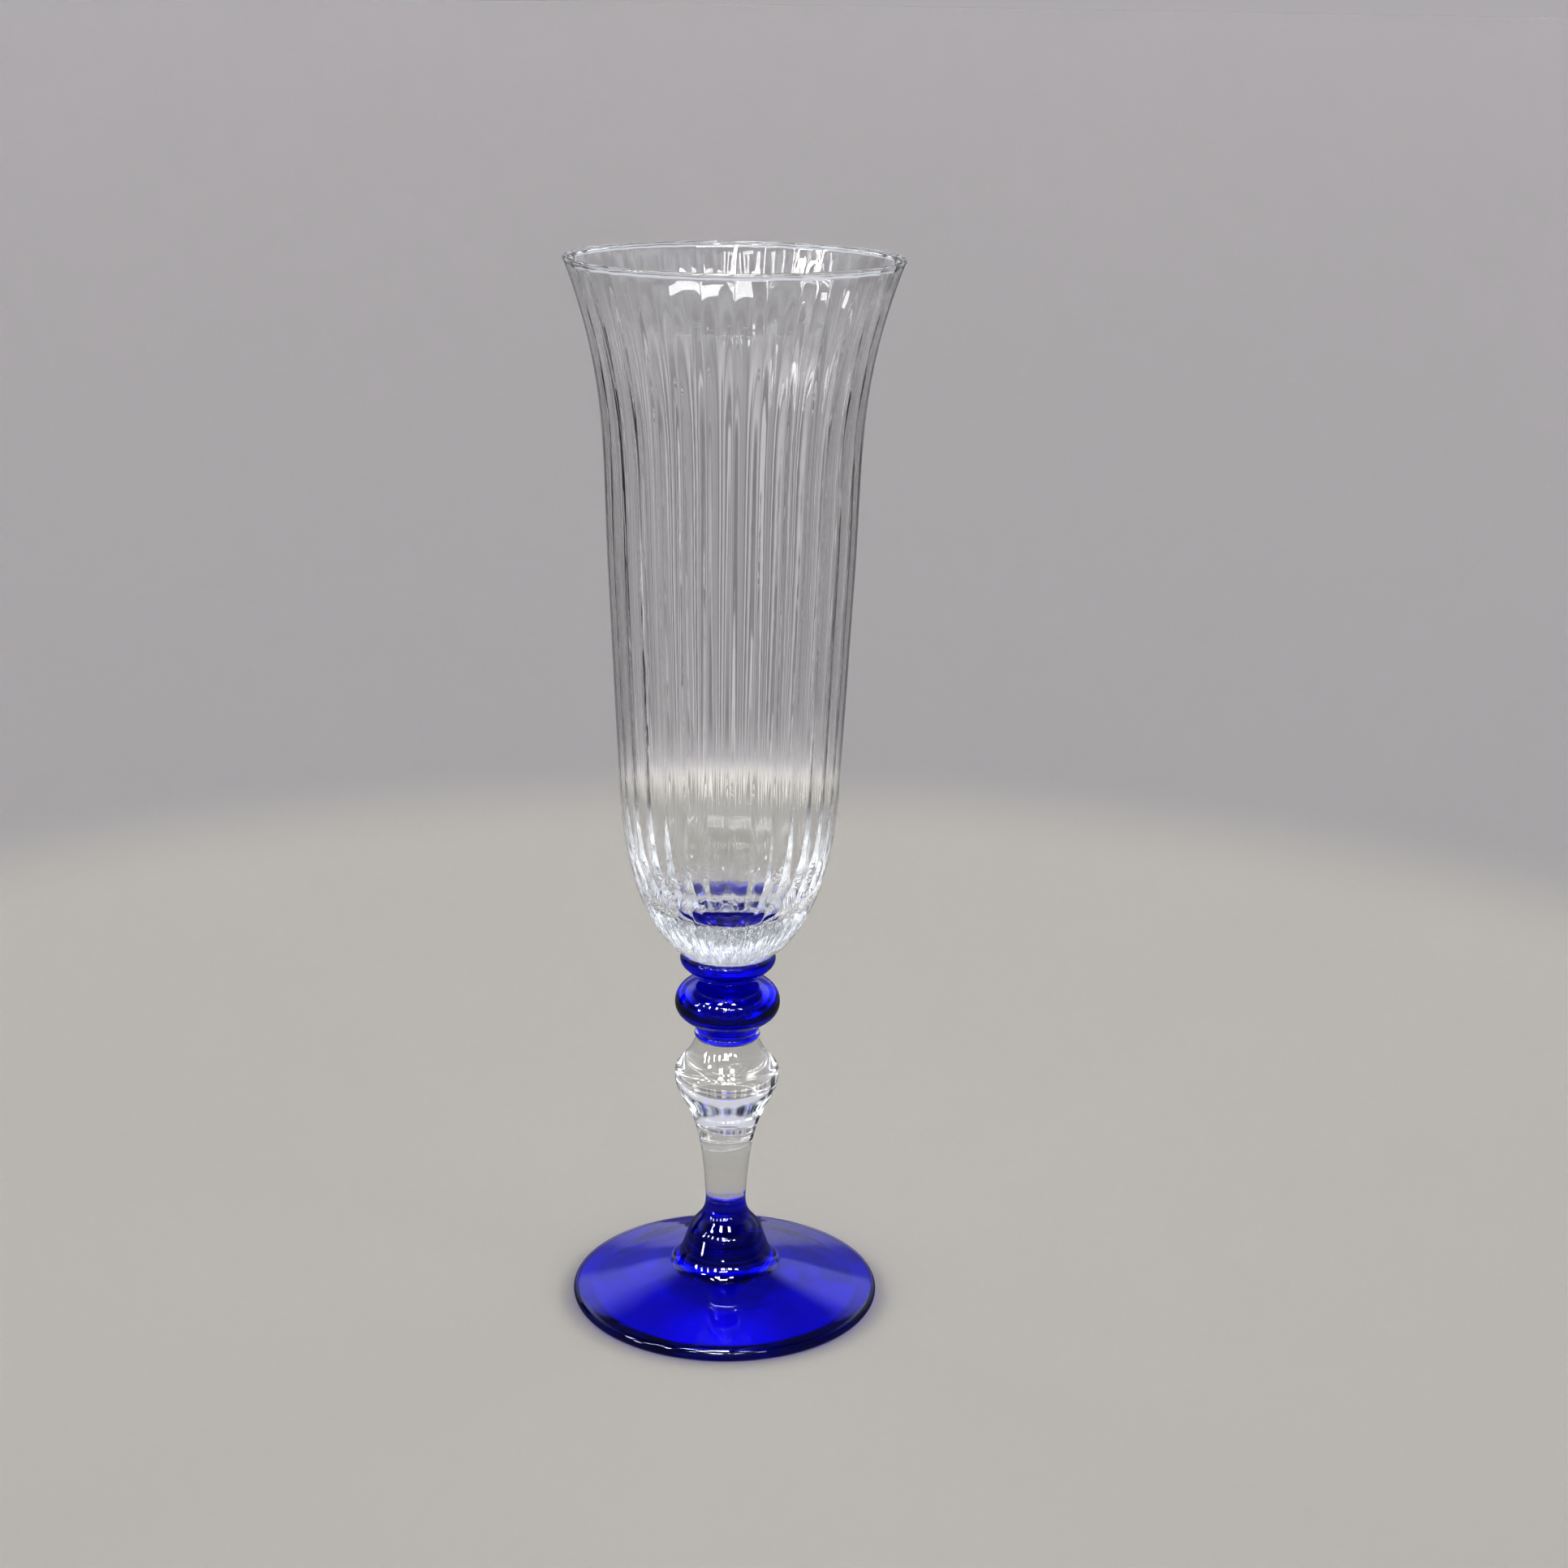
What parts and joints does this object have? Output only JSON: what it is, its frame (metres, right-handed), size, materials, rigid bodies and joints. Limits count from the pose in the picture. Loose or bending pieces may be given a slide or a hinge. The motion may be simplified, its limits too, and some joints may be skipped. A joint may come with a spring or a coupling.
{
  "type": "champagne flute",
  "caption": "Tall flared clear glass flute with vertical inner ribs, a cobalt disc and ring knop, a clear baluster stem and a cobalt foot.",
  "frame": {"origin": "centre of the foot's rest ring, on the plane of the table", "axes": "+Z along the axis of the glass, from the foot to the rim; the outline is the same all round, so +X and +Y are any two square directions"},
  "size_m": [0.0648, 0.0648, 0.215],
  "materials": {
    "clear_glass": "clear fire-polished glass",
    "cobalt_glass": "transparent cobalt blue fire-polished glass"
  },
  "bodies": {
    "root": {"foot": "cobalt_glass", "baluster_stem": "clear_glass", "ring_knop": "cobalt_glass", "merese": "cobalt_glass", "bowl": "clear_glass"}
  },
  "joints": []
}
